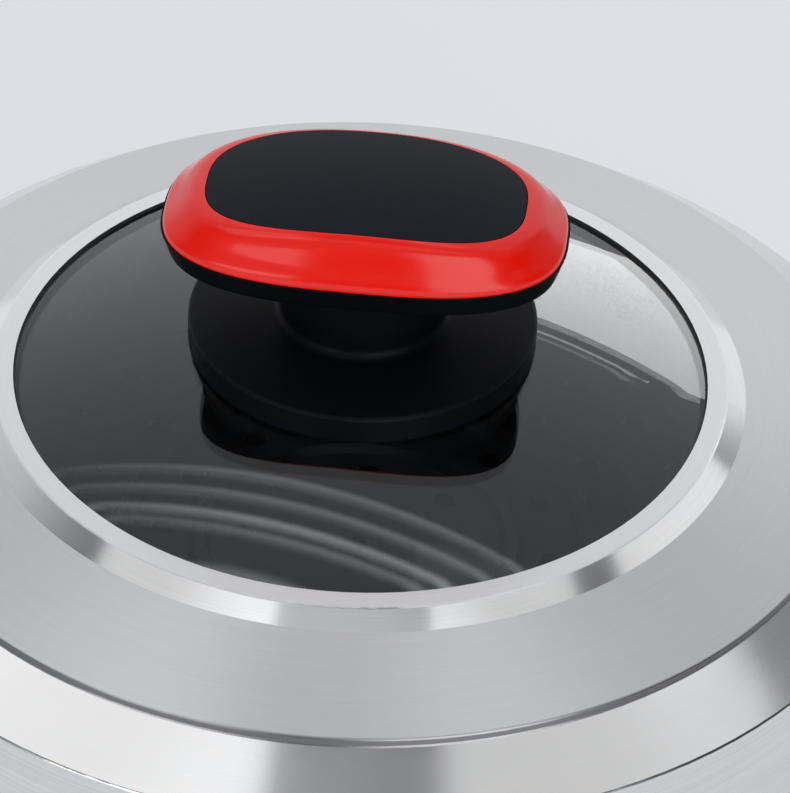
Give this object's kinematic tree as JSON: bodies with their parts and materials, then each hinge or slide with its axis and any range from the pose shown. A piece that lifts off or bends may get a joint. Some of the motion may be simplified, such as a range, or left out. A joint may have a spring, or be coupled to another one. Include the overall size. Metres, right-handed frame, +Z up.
{
  "type": "electric cooking pot",
  "caption": "Round electric cooking pot with a polished steel body, lift-out iron pot, steam tray, control dial and a lift-off domed glass lid with a large red and black knob.",
  "frame": {"origin": "middle of the footprint's bounding box on the floor, 7.5 mm in front of the pot's axis because the dial stands out further than the inlet", "axes": "+Z up along the pot's axis, -Y out of the dial, the knob and both handles along X"},
  "size_m": [0.365, 0.3252, 0.2497],
  "materials": {
    "rubber_black": "matt",
    "silicone_grey": "satin",
    "base_plastic": "fine matt texture",
    "knob_plastic": "satin",
    "soft_touch": "soft-touch, matt",
    "red_gloss": "high gloss",
    "white_gloss": "gloss",
    "lens_amber": "clear amber",
    "mirror_steel": "mirror polished stainless steel",
    "brushed_steel": "circular brushed",
    "plain_steel": "mill finish",
    "bezel_steel": "satin lip, polished bevel",
    "black_enamel": "black non-stick coat",
    "black_iron": "seasoned, matt",
    "smoked_glass": "clear, smoked",
    "lamp_glass": "clear",
    "cast_aluminium": "as cast",
    "satin_aluminium": "satin",
    "insulation_wool": "felted mineral wool",
    "white_ceramic": "unglazed",
    "bright_brass": "machined",
    "copper_tube": "drawn copper",
    "wire_sleeve": "woven sleeve look"
  },
  "bodies": {
    "housing": {"feet": "rubber_black", "base_cover": "base_plastic", "base_housing": "base_plastic", "outer_shell": "mirror_steel", "heat_liner": "plain_steel", "insulation": "insulation_wool", "heater_plate": "cast_aluminium", "heating_element": "plain_steel", "heater_spacers": "white_ceramic", "tie_studs": "plain_steel", "tie_nuts": "plain_steel", "thermostat_body": "base_plastic", "thermostat_bushing": "bright_brass", "bushing_nut": "bright_brass", "thermostat_bulb": "copper_tube", "thermal_fuse": "white_ceramic", "control_plate": "satin_aluminium", "pilot_lens": "lens_amber", "pilot_lamp": "lamp_glass", "inlet_socket": "knob_plastic", "inlet_pins": "bright_brass", "inlet_screws": "plain_steel", "terminal_block": "white_ceramic", "wiring": "wire_sleeve", "handle_left": "knob_plastic", "handle_right": "knob_plastic", "handle_screws": "plain_steel"},
    "dial": {"dial_knob": "knob_plastic", "dial_pointer": "white_gloss", "dial_shaft": "plain_steel"},
    "pot": {"inner_pot": "black_iron"},
    "tray": {"steam_tray": "black_enamel"},
    "lid": {"lid_plate": "brushed_steel", "lid_skirt": "plain_steel", "lid_seal": "silicone_grey", "lid_glass": "smoked_glass", "glass_gasket": "rubber_black", "glass_bezel": "bezel_steel", "knob_pad": "silicone_grey", "knob_under_pad": "silicone_grey", "knob_washer": "plain_steel", "knob_screw": "plain_steel", "knob_base": "knob_plastic", "knob_lower_shell": "knob_plastic", "knob_ring": "red_gloss", "knob_insert": "soft_touch", "knob_head_screws": "plain_steel"}
  },
  "joints": [
    {"name": "pot_lift", "type": "slide", "parent": "housing", "child": "pot", "axis": [0, 0, 1], "range_m": [0, 0.13]},
    {"name": "tray_lift", "type": "slide", "parent": "pot", "child": "tray", "axis": [0, 0, 1], "range_m": [0, 0.07]},
    {"name": "lid_lift", "type": "slide", "parent": "tray", "child": "lid", "axis": [0, 0, 1], "range_m": [0, 0.12]},
    {"name": "dial_turn", "type": "hinge", "parent": "housing", "child": "dial", "pos_m": [0, -0.1425, 0.032], "axis": [0, 1, 0], "range_deg": [0, 270]}
  ]
}
